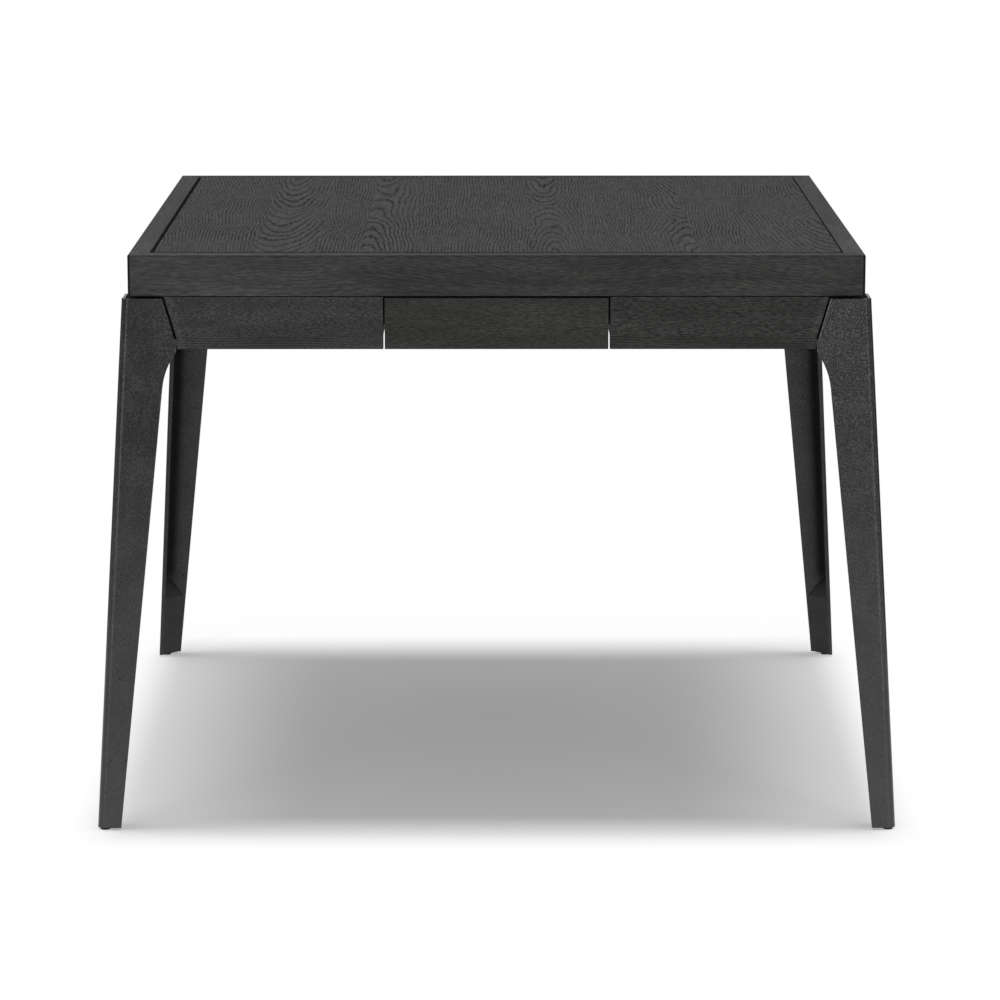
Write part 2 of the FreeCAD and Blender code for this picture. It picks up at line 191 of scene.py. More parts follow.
def addWorld(values):
    world = bpy.data.worlds.new("studio")
    scene.world = world
    world.use_nodes = True
    tree = world.node_tree
    side, back, _ = axesOf(tree, addNode(tree, "ShaderNodeTexCoord").outputs["Generated"])
    aside = calc(tree, "ABSOLUTE", side)
    light = rangeOf(tree, aside, *values["flagSpan"], values["worldStrength"], values["worldSides"])
    behind = calc(tree, "MULTIPLY", rayTest(tree), rangeOf(tree, back, *values["whiteSpan"]))
    strength = rangeOf(tree, behind, 0.0, 1.0, light, 1.0, smooth=False)
    background = tree.nodes["Background"]
    background.inputs["Color"].default_value = grey(1.0)
    tree.links.new(strength, background.inputs["Strength"])


# Grey paper to the light that falls on the table, white to the camera, with the shadow kept under the table
def addFloor(values):
    half = values["floorHalf"]
    corners = [(-half, -half, 0), (half, -half, 0), (half, half, 0), (-half, half, 0)]
    mesh = bpy.data.meshes.new("floor")
    mesh.from_pydata(corners, [], [(0, 1, 2, 3)])
    floor = bpy.data.objects.new("floor", mesh)
    scene.collection.objects.link(floor)
    mat = bpy.data.materials.new("floorPaper")
    mat.use_nodes = True
    tree = mat.node_tree
    tree.nodes.remove(tree.nodes["Principled BSDF"])
    paper = addNode(tree, "ShaderNodeBsdfDiffuse", {"Color": grey(values["floorColor"])}).outputs[0]
    white = addNode(tree, "ShaderNodeBsdfDiffuse", {"Color": grey(values["floorSeen"])}).outputs[0]
    glow = {"Color": grey(1.0), "Strength": values["floorGlow"]}
    lifted = addNode(tree, "ShaderNodeAddShader", {
        0: white,
        1: addNode(tree, "ShaderNodeEmission", glow).outputs[0]}).outputs[0]
    blank = addNode(tree, "ShaderNodeEmission", {"Color": grey(1.0), "Strength": 1.0}).outputs[0]
    x, y, _ = axesOf(tree, addNode(tree, "ShaderNodeTexCoord").outputs["Object"])
    aside = rangeOf(tree, calc(tree, "ABSOLUTE", x), *values["whiteAside"])
    ahead = rangeOf(tree, calc(tree, "MULTIPLY", y, -1.0), *values["whiteAhead"])
    behind = rangeOf(tree, y, *values["whiteBehind"])
    far = calc(tree, "MAXIMUM", aside, calc(tree, "MAXIMUM", ahead, behind))
    seenFloor = addNode(tree, "ShaderNodeMixShader", {0: far, 1: lifted, 2: blank}).outputs[0]
    both = addNode(tree, "ShaderNodeMixShader", {0: rayTest(tree), 1: paper, 2: seenFloor}).outputs[0]
    tree.links.new(both, tree.nodes["Material Output"].inputs["Surface"])
    mesh.materials.append(mat)


addSoftbox("overhead", studio["overheadPlace"], studio["overheadAim"], studio["overheadSize"],
           studio["overheadPower"], "ELLIPSE")
addSoftbox("fill", studio["fillPlace"], studio["aim"], studio["fillSize"], studio["fillPower"])
cornerX, cornerY, cornerZ = studio["cornerPlace"]
for name, x, power in zip(("cornerLeft", "cornerRight"), (-cornerX, cornerX), studio["cornerPowers"]):
    addSoftbox(name, (x, cornerY, cornerZ), studio["aim"], studio["cornerSize"], power)
addWorld(studio)
addFloor(studio)
print("studio lit")


def startGroup(name, vectors, numbers, results):
    tree = bpy.data.node_groups.new(name, "ShaderNodeTree")
    for label in vectors:
        tree.interface.new_socket(label, in_out="INPUT", socket_type="NodeSocketVector")
    for label in numbers:
        tree.interface.new_socket(label, in_out="INPUT", socket_type="NodeSocketFloat")
    for label in results:
        tree.interface.new_socket(label, in_out="OUTPUT", socket_type="NodeSocketFloat")
    return tree, addNode(tree, "NodeGroupInput").outputs, addNode(tree, "NodeGroupOutput").inputs


def useGroup(tree, group, wires):
    return addNode(tree, "ShaderNodeGroup", wires, node_tree=group).outputs


# Noises here and below are scale, detail, roughness; a span is where a mask begins and where it is full
oakGrain = {
    "seedShift": (13.7, 13.7, 13.7),    # each pith has its own piece of the noises
    "slowStretch": (0.4, 1.0, 0.4),     # lean and roll of the pith
    "slow": (2.2, 2.0, 0.6),
    "wanderStretch": (1.0, 0.3, 1.0),
    "wander": (9.0, 2.0, 0.6),
    "ragged": (220.0, 2.0),
    "raggedDepth": 0.5,                 # in rings
    "earlyWood": ((0.0, 0.8), (0.07, 1.0), (0.22, 0.8), (0.42, 0.1), (0.85, 0.0), (1.0, 0.2)),
    "fineRate": 1.5,                    # finer rings show where the lines fade
    "fineWood": ((0.0, 1.0), (0.4, 0.0), (0.9, 0.0)),
    "fineDepth": 0.9,
    "fadeStretch": (1.0, 0.7, 1.0),
    "fade": (8.0, 2.0),
    "fadeSpan": (0.42, 0.58),
    "flecks": (1.0, 2.0),
    "breakSpan": (0.34, 0.56),          # lines are broken between the flecks
    "breakFloor": 0.5,
    "toneStretch": (1.0, 0.1, 1.0),
    "tone": (42.0, 3.0, 0.6),
}


# Oak: year rings round a pith that drifts along the grain, both ways from its crook. A ring's number is
# the distance from the pith over the ring width; its dark line is the early wood. Vector is across, along
# and through the grain
def makeOakGroup(grain):
    numbers = ("Drift", "Ring Width", "Wander", "Lean", "Roll", "Fade", "Fleck Height", "Fleck Length")
    tree, given, result = startGroup("oakRings", ("Vector", "Pith"), numbers, ("Lines", "Flecks", "Tone"))
    place = calcVector(tree, "ADD", given["Vector"], stretched(tree, given["Pith"], grain["seedShift"]))
    parts = axesOf(tree, given["Vector"])
    pith = axesOf(tree, given["Pith"])

    def swayOf(kind, channel, amount):
        cloud = noiseOf(tree, stretched(tree, place, grain[kind + "Stretch"]), *grain[kind])["Color"]
        value = axesOf(tree, cloud)[channel]
        return calc(tree, "MULTIPLY", calc(tree, "SUBTRACT", value, 0.5), amount)

    swayAcross = calc(tree, "ADD", swayOf("wander", 0, given["Wander"]), swayOf("slow", 0, given["Lean"]))
    swayThrough = calc(tree, "ADD", swayOf("wander", 1, given["Wander"]), swayOf("slow", 1, given["Roll"]))
    across = calc(tree, "ADD", calc(tree, "SUBTRACT", parts[0], pith[0]), swayAcross)
    crook = calc(tree, "ABSOLUTE", calc(tree, "SUBTRACT", parts[1], pith[1]))
    drifted = calc(tree, "ADD", calc(tree, "MULTIPLY", crook, given["Drift"]), swayThrough)
    through = calc(tree, "ADD", calc(tree, "SUBTRACT", parts[2], pith[2]), drifted)
    squareAcross = calc(tree, "MULTIPLY", across, across)
    squareThrough = calc(tree, "MULTIPLY", through, through)
    distance = calc(tree, "SQRT", calc(tree, "ADD", squareAcross, squareThrough))
    number = calc(tree, "DIVIDE", distance, given["Ring Width"])
    ragged = noiseOf(tree, stretched(tree, place, grain["wanderStretch"]), *grain["ragged"])[0]
    ragged = calc(tree, "MULTIPLY", calc(tree, "SUBTRACT", ragged, 0.5), grain["raggedDepth"])
    number = calc(tree, "ADD", number, ragged)
    lines = rampOf(tree, calc(tree, "FRACT", number), grain["earlyWood"])
    finer = calc(tree, "FRACT", calc(tree, "MULTIPLY", number, grain["fineRate"]))
    fine = rampOf(tree, finer, grain["fineWood"])
    cloud = noiseOf(tree, stretched(tree, place, grain["fadeStretch"]), *grain["fade"])[0]
    faint = calc(tree, "MULTIPLY", rangeOf(tree, cloud, *grain["fadeSpan"]), given["Fade"])
    lines = calc(tree, "MULTIPLY", lines, calc(tree, "SUBTRACT", 1.0, faint))
    fine = calc(tree, "MULTIPLY", fine, calc(tree, "MULTIPLY", faint, grain["fineDepth"]))
    lines = calc(tree, "MAXIMUM", lines, fine)
    fleckPlace = addNode(tree, "ShaderNodeCombineXYZ", {
        0: calc(tree, "MULTIPLY", calc(tree, "ADD", parts[0], swayAcross), given["Fleck Height"]),
        1: calc(tree, "MULTIPLY", parts[1], given["Fleck Length"]),
        2: calc(tree, "MULTIPLY", calc(tree, "ADD", through, pith[2]), given["Fleck Height"])}).outputs[0]
    flecks = noiseOf(tree, fleckPlace, *grain["flecks"])[0]
    broken = rangeOf(tree, flecks, *grain["breakSpan"], grain["breakFloor"], 1.0)
    tone = noiseOf(tree, stretched(tree, place, grain["toneStretch"]), *grain["tone"])[0]
    tree.links.new(calc(tree, "MULTIPLY", lines, broken), result["Lines"])
    tree.links.new(flecks, result["Flecks"])
    tree.links.new(tone, result["Tone"])
    return tree


coatGrain = {
    "bend": (240.0, 1.0),               # pushes the cells out of round
    "bendReach": (0.003, 0.003, 0.003),
    "cellSmooth": 0.5,
    "gritRate": 1.1,                    # grit's scale over the pebbles'
    "grit": (3.0, 0.6),                 # detail, roughness
    "gritHeight": 0.8,
    "pits": (310.0, 1.0),
    "pitSpan": (0.69, 0.76),
    "patches": (26.0, 4.0, 0.65),
    "sparks": (600.0, 1.0),
}


# Cast and coated metal: rounded pebbles from smooth cells, with finer grit and scattered pits
def makePebbleGroup(grain):
    results = ("Height", "Specks", "Pits", "Patches", "Sparks")
    tree, given, result = startGroup("pebbleCoat", ("Vector",), ("Scale",), results)
    place = given["Vector"]
    nudge = stretched(tree, noiseOf(tree, place, *grain["bend"])["Color"], grain["bendReach"])
    wires = {"Vector": calcVector(tree, "ADD", place, nudge), "Scale": given["Scale"],
             "Smoothness": grain["cellSmooth"]}
    cells = addNode(tree, "ShaderNodeTexVoronoi", wires, feature="SMOOTH_F1").outputs["Distance"]
    gritScale = calc(tree, "MULTIPLY", given["Scale"], grain["gritRate"])
    grit = noiseOf(tree, place, gritScale, *grain["grit"])[0]
    dome = calc(tree, "SUBTRACT", 1.0, cells)
    height = calc(tree, "ADD", dome, calc(tree, "MULTIPLY", grit, grain["gritHeight"]))
    pits = rangeOf(tree, noiseOf(tree, place, *grain["pits"])[0], *grain["pitSpan"])
    tree.links.new(height, result["Height"])
    tree.links.new(grit, result["Specks"])
    tree.links.new(pits, result["Pits"])
    tree.links.new(noiseOf(tree, place, *grain["patches"])[0], result["Patches"])
    tree.links.new(noiseOf(tree, place, *grain["sparks"])[0], result["Sparks"])
    return tree


dustGrain = {
    "cloud": (12.0, 4.0, 0.6),
    "cloudSpan": (0.4, 0.75),
    "grains": (700.0, 1.0),
}


# Fine settled dust: a slow cloudy mask with small grains in it
def makeDustGroup(grain):
    tree, given, result = startGroup("softDust", ("Vector",), (), ("Dust",))
    cloud = noiseOf(tree, given["Vector"], *grain["cloud"])[0]
    grains = noiseOf(tree, given["Vector"], *grain["grains"])[0]
    dust = calc(tree, "MULTIPLY", rangeOf(tree, cloud, *grain["cloudSpan"]), grains)
    tree.links.new(dust, result["Dust"])
    return tree


oakGroup = makeOakGroup(oakGrain)
pebbleGroup = makePebbleGroup(coatGrain)
dustGroup = makeDustGroup(dustGrain)
print("node groups made")


def startMaterial(name, look, metallic=0.0):
    mat = bpy.data.materials.new(name)
    mat.use_nodes = True
    tree = mat.node_tree
    shader = tree.nodes["Principled BSDF"]
    shader.inputs["Roughness"].default_value = look["rough"]
    shader.inputs["Specular IOR Level"].default_value = look["specular"]
    shader.inputs["Metallic"].default_value = metallic
    return mat, tree, shader, addNode(tree, "ShaderNodeTexCoord").outputs["Object"]


def addBump(tree, shader, strength, depth, height):
    wires = {"Strength": strength, "Distance": depth, "Height": height}
    tree.links.new(addNode(tree, "ShaderNodeBump", wires).outputs[0], shader.inputs["Normal"])


# Across, along and through the grain, from the table's axis and the look's level
def grainVector(tree, coords, grainAlongX, level):
    turn = (0, 0, math.radians(90)) if grainAlongX else (0, 0, 0)
    wires = {"Vector": coords, "Rotation": turn, "Location": (0, 0, -level)}
    return addNode(tree, "ShaderNodeMapping", wires).outputs[0]


# Apron ends: black painted shade in the joint beside the leg, painted light where the joint is closed at
# its foot, and painted light along the edge beside it
def seamColor(tree, color, seam, across, along, z):
    start, slope = seam["end"]
    end = calc(tree, "MULTIPLY_ADD", calc(tree, "MAXIMUM", z, seam["plumb"]), slope, start)
    near = calc(tree, "SUBTRACT", end, calc(tree, "ABSOLUTE", along))
    lightened = mixColor(tree, 1.0, color, seam["rub"], "MULTIPLY")
    color = mixColor(tree, rangeOf(tree, near, seam["rubWidth"], 0.0), color, lightened)
    joint = mixColor(tree, rangeOf(tree, z, *seam["foot"]), seam["closed"], seam["open"])
    behind = rangeOf(tree, calc(tree, "ABSOLUTE", across), *seam["recess"])
    inside = calc(tree, "MULTIPLY", behind, rangeOf(tree, near, *seam["reach"]))
    return mixColor(tree, inside, color, joint)


# What all the woods share
woodFinish = {
    "fleckSpan": (0.36, 0.64),
    "toneSpan": (0.32, 0.68),
    "bandBlend": 0.0006,        # metres over which a straighter band sets in
    "bandFlecks": -0.4,         # flecks lost and lines won in it
    "bandLines": 2.2,
    "roughRise": 0.2,           # rougher in lines and flecks
    "bumpDepth": 0.0004,
}


# Tone, then flecks, then lines; a look may add a band, tints along the grain, shades by place, which are
# painted shade save the band's, and a seam of painted shade and light
def finishWood(tree, shader, oak, look, coords, place):
    z = axesOf(tree, coords)[2]
    across, along, _ = axesOf(tree, place)
    flecks = rangeOf(tree, oak["Flecks"], *woodFinish["fleckSpan"])
    dark = calc(tree, "MULTIPLY", oak["Lines"], look["lineDepth"])
    if "band" in look:
        low = rangeOf(tree, z, look["band"], look["band"] - woodFinish["bandBlend"])
        fewer = calc(tree, "MULTIPLY_ADD", low, woodFinish["bandFlecks"], 1.0)
        more = calc(tree, "MULTIPLY_ADD", low, woodFinish["bandLines"], 1.0)
        flecks = calc(tree, "MULTIPLY", flecks, fewer)
        dark = calc(tree, "MULTIPLY", dark, more, clamp=True)
    flecks = calc(tree, "MULTIPLY", flecks, look["fleckDepth"])
    tone = rangeOf(tree, oak["Tone"], *woodFinish["toneSpan"])
    color = mixColor(tree, tone, look["dull"], look["bright"])
    color = mixColor(tree, flecks, color, look["fleck"])
    color = mixColor(tree, dark, color, look["line"])
    if "tints" in look:
        first, second, start, end = look["tints"]
        tint = mixColor(tree, rangeOf(tree, along, start, end), first, second)
        color = mixColor(tree, 1.0, color, tint, "MULTIPLY")
    shades = [(z, *shade) for shade in look.get("shades", ())]
    if "edge" in look:
        shades.append((across, *look["edge"]))
    if "ends" in look:
        shades.append((calc(tree, "ABSOLUTE", along), *look["ends"]))
    for way, start, end, shade in shades:
        shaded = mixColor(tree, 1.0, color, shade, "MULTIPLY")
        color = mixColor(tree, rangeOf(tree, way, start, end), color, shaded)
    if "seam" in look:
        color = seamColor(tree, color, look["seam"], across, along, z)
    tree.links.new(color, shader.inputs["Base Color"])
    deep = calc(tree, "MAXIMUM", dark, flecks)
    roughest = look["rough"] + woodFinish["roughRise"]
    rough = rangeOf(tree, deep, 0.0, 1.0, look["rough"], roughest, smooth=False)
    tree.links.new(rough, shader.inputs["Roughness"])
    addBump(tree, shader, look["bump"], woodFinish["bumpDepth"], calc(tree, "SUBTRACT", 1.0, deep))


def useOak(tree, place, look, pith, drift):
    return useGroup(tree, oakGroup, {
        "Vector": place, "Pith": pith, "Drift": drift,
        "Ring Width": look["ringWidth"], "Wander": look["wander"],
        "Lean": look["lean"], "Roll": look["roll"], "Fade": look["fade"],
        "Fleck Height": look["fleckHeight"], "Fleck Length": look["fleckLength"]})


# Top panel: veneer leaves with their grain from front to back. Each leaf is its right edge, then its pith:
# across, crook along, depth under the face, drift, in metres from the table's centre
panelLook = {
    "leaves": ((-0.326, -0.80, -0.50, 0.100, 0.08), (-0.244, -0.290, -0.55, 0.090, -0.075),
               (-0.180, 0.300, 0.30, 0.050, 0.02), (-0.1125, -0.172, 0.17, 0.050, -0.055),
               (0.045, -0.520, 0.10, 0.060, 0.03), (0.116, 0.072, 0.065, 0.042, -0.070),
               (0.1875, -0.400, -0.20, 0.050, 0.03), (0.2625, 0.268, -0.09, 0.048, -0.060),
               (0.334, 0.800, 0.20, 0.050, 0.03), (0.460, 0.470, -0.55, 0.110, -0.100)),
    "half": 0.46,               # half the width that the leaves share out
    "ringWidth": 0.0046,
    "wander": 0.018,
    "lean": 0.05,
    "roll": 0.0,
    "fade": 0.3,
    "fleckHeight": 420.0,       # flecks to the metre, across and along
    "fleckLength": 34.0,
    "level": 0.762,
    "dull": (0.043, 0.043, 0.042, 1),
    "bright": (0.052, 0.052, 0.051, 1),
    "fleck": grey(0.020),
    "line": grey(0.003),
    "lineDepth": 1.0,
    "fleckDepth": 0.45,
    "shades": ((0.76195, 0.7617, grey(0.2)),),      # painted shade on the side walls in the gap
    "rough": 0.65,
    "specular": 0.04,
    "bump": 0.4,
}


# A stepped ramp picks each leaf's pith and drift. Its colours hold 0 to 1, so they are packed round a half
def makePanelOak(look):
    mat, tree, shader, coords = startMaterial("oakPanel", look)
    place = grainVector(tree, coords, False, look["level"])
    half, leaves = look["half"], look["leaves"]
    share = calc(tree, "DIVIDE", calc(tree, "ADD", axesOf(tree, place)[0], half), 2 * half)
    starts = [0.0] + [(leaf[0] + half) / (2 * half) for leaf in leaves[:-1]]
    piths = [(start, tuple(0.5 + 0.5 * v for v in leaf[1:4])) for start, leaf in zip(starts, leaves)]
    drifts = [(start, leaf[4] + 0.5) for start, leaf in zip(starts, leaves)]
    packed = calcVector(tree, "SUBTRACT", rampOf(tree, share, piths, "CONSTANT"), (0.5, 0.5, 0.5))
    pith = stretched(tree, packed, (2, 2, -2))      # a depth counts downwards
    drift = calc(tree, "SUBTRACT", rampOf(tree, share, drifts, "CONSTANT"), 0.5)
    finishWood(tree, shader, useOak(tree, place, look, pith, drift), look, coords, place)
    return mat


railLook = {
    "pith": (0.43, -1.0, 0.0),
    "drift": 0.06,
    "ringWidth": 0.0034,
    "wander": 0.012,
    "lean": 0.05,
    "roll": 0.10,
    "fade": 0.6,
    "fleckHeight": 880.0,
    "fleckLength": 75.0,
    "level": 0.735,
    "dull": grey(0.046),
    "bright": (0.070, 0.069, 0.068, 1),
    "fleck": grey(0.020),
    "line": grey(0.020),
    "lineDepth": 0.5,
    "fleckDepth": 0.6,
    "tints": ((1.56, 1.56, 1.58, 1), (1.03, 1.03, 1.01, 1), -0.45, -0.10),
    "shades": ((0.7590, 0.7596, grey(0.74)),        # painted shade: a dark arris, then a darker top face
               (0.7612, 0.7617, grey(0.76))),
    "ends": (0.4775, 0.4800, grey(0.18)),           # painted shade on the upright corners
    "rough": 0.6,
    "specular": 0.06,
    "bump": 0.35,
}
backRailLook = dict(railLook, edge=(-0.452, -0.460, grey(0.35)))    # painted shade towards the far edge


def makeSolidOak(name, look, grainAlongX):
    mat, tree, shader, coords = startMaterial(name, look)
    place = grainVector(tree, coords, grainAlongX, look["level"])
    finishWood(tree, shader, useOak(tree, place, look, look["pith"], look["drift"]), look, coords, place)
    return mat


apronLook = {
    "pith": (0.30, -1.0, -0.338),
    "drift": 0.012,
    "ringWidth": 0.0030,
    "wander": 0.010,
    "lean": 0.02,
    "roll": 0.02,
    "fade": 0.4,
    "fleckHeight": 1150.0,
    "fleckLength": 230.0,
    "level": 0.673,
    "dull": (0.056, 0.056, 0.055, 1),
    "bright": (0.080, 0.079, 0.078, 1),
    "fleck": grey(0.014),
    "line": (0.014, 0.014, 0.013, 1),
    "lineDepth": 0.3,
    "fleckDepth": 0.72,
    "rough": 0.6,
    "specular": 0.06,
    "bump": 0.35,
    "band": 0.655,                      # straighter grain below this
    "tints": ((1.12, 1.12, 1.13, 1), (0.89, 0.89, 0.87, 1), -0.15, 0.15),
    "shades": ((0.7067, 0.7073, grey(0.08)),        # painted shadow in the joint under the top, then the band
               (0.6555, 0.6548, grey(0.90))),
    "seam": {
        "end": (0.2291, 0.2914),        # slanted end from the table's centre, and its slope
        "plumb": 0.650,                 # upright below this
        # painted light along the end beside the joint, lifting the leg's shade
        "rub": grey(1.9),
        "rubWidth": 0.014,
        "recess": (0.4796, 0.4788),     # behind the apron's face
        "reach": (0.006, 0.003),
        # painted light in the joint where it is closed at its foot, black painted shade where it is open
        "foot": (0.648, 0.652),
        "closed": grey(0.25),
        "open": grey(0.003),
    },
}
fleckedApronLook = dict(apronLook, fleckLength=140.0, fleckHeight=900.0)    # right and back boards
apronOnly = ("band", "shades", "tints", "seam")
drawerLook = {key: value for key, value in apronLook.items() if key not in apronOnly}
drawerLook.update(fleckLength=140.0, fleckDepth=0.6)
drawerLook.update(dull=(0.046, 0.045, 0.0425, 1), bright=(0.068, 0.067, 0.063, 1))

legLook = {
    "color": grey(0.006),
    "speck": grey(0.037),
    "speckMix": (0.3, 0.7),                 # shares of slow patches and fine specks
    "speckSpan": (0.42, 0.61),
    # the coat's pits, and the painted shade in the corner, on the rim and on the outer turn
    "pitAndShade": grey(0.004),
    "spark": grey(0.080),                   # coarse bright grains on the haunch, with hollows between; over the right legs, painted glints
    "sparkSpan": (0.56, 0.66),
    "hollowSpan": (0.46, 0.38),
    "low": (0.084, 0.084, 0.082, 1),        # painted light, paler towards the floor
    "lowSpan": (0.55, 0.0),
    "lowDepth": 0.6,
    "rough": 0.28,
    "dustSpan": (0.0, 0.6),
    "dustRise": 0.1,
    "bump": 0.75,
    "bumpDepth": 0.0002,
    "pebble": 380.0,
    "specular": 0.28,
    "rightSpan": (0.0, 0.1),                # across the table, from left legs to right ones
    "rearSpan": (-0.1, 0.1),                # back legs get less of the painted light: painted shade under the top
    "rearShare": 0.6,
    "spread": (0.530, 0.0565),              # outer face at the floor, and its slope
    "innerSpan": (0.0035, 0.0050),          # depth under it where the inside of the angle begins
    "cornerSpan": (0.028, 0.008),           # painted shade in the inner corner
    "cornerDepth": 0.8,
    "footFill": (0.10, 0.14),               # above the solid foot
    "wingSpan": (0.02, 0.06),               # paler inside of the wings
    "wingDepth": 0.5,
    "rim": (0.7054, 0.7058),                # painted shade on the flange seen over the leg's rim
    "rimInside": (0.694, 0.700),
    "turn": (0.0040, 0.0014),               # painted shade on the outer turn of the corner, from its outer side
    "turnDepth": (0.0016, 0.0030, 0.013, 0.011),
    "turnFoot": (0.12, 0.36),
    "turnLeft": 0.6,                        # its share on the left legs
    "paintedHighlight": grey(0.22),                     # painted highlight along the haunch edge of the right legs
    "highlightEdge": (0.2307, 0.2914),           # slanted edge from the table's centre, and its slope
    "highlightWidth": 0.0016,
    "highlightFoot": (0.640, 0.650),
    "haunch": (0.455, 0.430),               # from the middle of the leg to its inner edge
    "haunchFoot": (0.50, 0.65),
    "glintFoot": 0.20,                      # the right legs' grains and painted glints start this low
}


# Pebbled coat with tone, painted light and painted shade by place. Depths are measured in from the two
# outer faces of a leg's angle
def makeLegMetal(look):
    mat, tree, shader, coords = startMaterial("legMetal", look)
    coat = useGroup(tree, pebbleGroup, {"Vector": coords, "Scale": look["pebble"]})
    dust = useGroup(tree, dustGroup, {"Vector": coords})["Dust"]
    x, y, z = axesOf(tree, coords)
    absX, absY, _ = axesOf(tree, calcVector(tree, "ABSOLUTE", coords))
    nearest = calc(tree, "MINIMUM", absX, absY)
    right = rangeOf(tree, x, *look["rightSpan"])
    # back legs: less painted light, as painted shade under the top
    rear = rangeOf(tree, y, *look["rearSpan"], 1.0, look["rearShare"])

    # specks, painted light towards the floor, and coarse grains, which are painted glints over the right
    # legs
    patchShare, speckShare = look["speckMix"]
    fineSpecks = calc(tree, "MULTIPLY", coat["Specks"], speckShare)
    specks = calc(tree, "MULTIPLY_ADD", coat["Patches"], patchShare, fineSpecks)
    face = mixColor(tree, rangeOf(tree, specks, *look["speckSpan"]), look["color"], look["speck"])
    paler = rangeOf(tree, z, *look["lowSpan"], 0.0, look["lowDepth"], smooth=False)
    face = mixColor(tree, calc(tree, "MULTIPLY", rear, paler), face, look["low"])
    # bright grains on the haunch, and painted glints over the right legs
    inward = calc(tree, "MAXIMUM", rangeOf(tree, nearest, *look["haunch"]), right)
    grainGlintStart, grainGlintFull = look["haunchFoot"]
    grainGlintStart = rangeOf(tree, right, 0.0, 1.0, grainGlintStart, look["glintFoot"])
    coarse = calc(tree, "MULTIPLY", inward, rangeOf(tree, z, grainGlintStart, grainGlintFull))
    sparks = calc(tree, "MULTIPLY", coarse, rangeOf(tree, coat["Sparks"], *look["sparkSpan"]))
    face = mixColor(tree, sparks, face, look["spark"])
    hollows = calc(tree, "MULTIPLY", coarse, rangeOf(tree, coat["Sparks"], *look["hollowSpan"]))
    pits = calc(tree, "MAXIMUM", coat["Pits"], hollows)

    # inside of the angle: paler wings, painted shade in the corner and on the rim
    foot, slope = look["spread"]
    outer = calc(tree, "MULTIPLY_ADD", z, -slope, foot)
    sideDepth = calc(tree, "SUBTRACT", outer, absX)
    frontDepth = calc(tree, "SUBTRACT", outer, absY)
    inner = rangeOf(tree, calc(tree, "MINIMUM", sideDepth, frontDepth), *look["innerSpan"])
    wing = calc(tree, "MAXIMUM", sideDepth, frontDepth)
    pale = times(tree, inner, rangeOf(tree, wing, *look["wingSpan"], 0.0, look["wingDepth"]), rear)
    face = mixColor(tree, pale, face, look["low"])
    corner = times(tree, inner, rangeOf(tree, wing, *look["cornerSpan"], 0.0, look["cornerDepth"]),
                   rangeOf(tree, z, *look["footFill"]))
    inside = calc(tree, "MULTIPLY", inner, rangeOf(tree, z, *look["rimInside"]))
    rim = calc(tree, "MAXIMUM", inside, rangeOf(tree, z, *look["rim"]))
    corner = calc(tree, "MAXIMUM", corner, rim)

    # outside: the painted highlight along the haunch edge and the painted shade on the turn of the corner
    start, slope = look["highlightEdge"]
    past = calc(tree, "SUBTRACT", nearest, calc(tree, "MULTIPLY_ADD", z, slope, start))
    paintedHighlight = times(tree, right, rangeOf(tree, past, look["highlightWidth"], 0.0),
                 rangeOf(tree, z, *look["highlightFoot"]))
    face = mixColor(tree, paintedHighlight, face, look["paintedHighlight"])
    first, full, last, none = look["turnDepth"]
    turn = times(tree, rangeOf(tree, frontDepth, first, full), rangeOf(tree, frontDepth, last, none),
                 rangeOf(tree, sideDepth, *look["turn"]), rangeOf(tree, z, *look["turnFoot"]),
                 rangeOf(tree, right, 0.0, 1.0, look["turnLeft"], 1.0))
    corner = calc(tree, "MAXIMUM", corner, turn)
    # the corner, rim and turn take the pit colour as painted shade
    face = mixColor(tree, corner, face, look["pitAndShade"])
    tree.links.new(mixColor(tree, pits, face, look["pitAndShade"]), shader.inputs["Base Color"])

    dusty = rangeOf(tree, dust, *look["dustSpan"], look["rough"], look["rough"] + look["dustRise"])
    matt = rangeOf(tree, corner, 0.0, 1.0, look["rough"], 1.0)
    tree.links.new(calc(tree, "MAXIMUM", dusty, matt), shader.inputs["Roughness"])
    addBump(tree, shader, look["bump"], look["bumpDepth"], calc(tree, "SUBTRACT", coat["Height"], pits))
    return mat


plyLook = {
    "pith": (0.2, -1.0, -0.37),
    "drift": 0.03,
    "ringWidth": 0.006,
    "wander": 0.02,
    "lean": 0.05,
    "roll": 0.0,
    "fade": 0.5,
    "fleckHeight": 500.0,
    "fleckLength": 30.0,
    "level": 0.68,
    "dull": (0.022, 0.020, 0.018, 1),
    "bright": (0.034, 0.031, 0.028, 1),
    "fleck": (0.016, 0.015, 0.014, 1),
    "line": (0.012, 0.011, 0.010, 1),
    "lineDepth": 0.4,
    "fleckDepth": 0.4,
    "rough": 0.6,
    "specular": 0.06,
    "bump": 0.2,
}
beechLook = dict(plyLook, ringWidth=0.003, dull=(0.56, 0.40, 0.25, 1), bright=(0.66, 0.49, 0.32, 1),
                 fleck=(0.48, 0.33, 0.20, 1), line=(0.45, 0.30, 0.18, 1), rough=0.55)

drawnMetal = {
    "specular": 0.5,
    "lineStretch": (60.0, 60.0, 2600.0),
    "lines": (1.0, 2.0),
    "lineBloom": 0.5,
    "roughFall": 0.06,          # smoother where clean, rougher where dull
    "roughRise": 0.2,
    "bump": 0.2,
    "bumpDepth": 0.0001,
}
steelLook = dict(drawnMetal, color=(0.50, 0.51, 0.53, 1), dull=(0.40, 0.40, 0.41, 1), rough=0.32)
# a channel's front end painted black as shade
channelLook = dict(steelLook, darkEnd=(0.425, 0.440), black=grey(0.003))
blackSteelLook = dict(drawnMetal, color=(0.030, 0.030, 0.032, 1), dull=grey(0.020), rough=0.42)
brassLook = dict(drawnMetal, color=(0.70, 0.53, 0.25, 1), dull=(0.52, 0.38, 0.17, 1), rough=0.35)
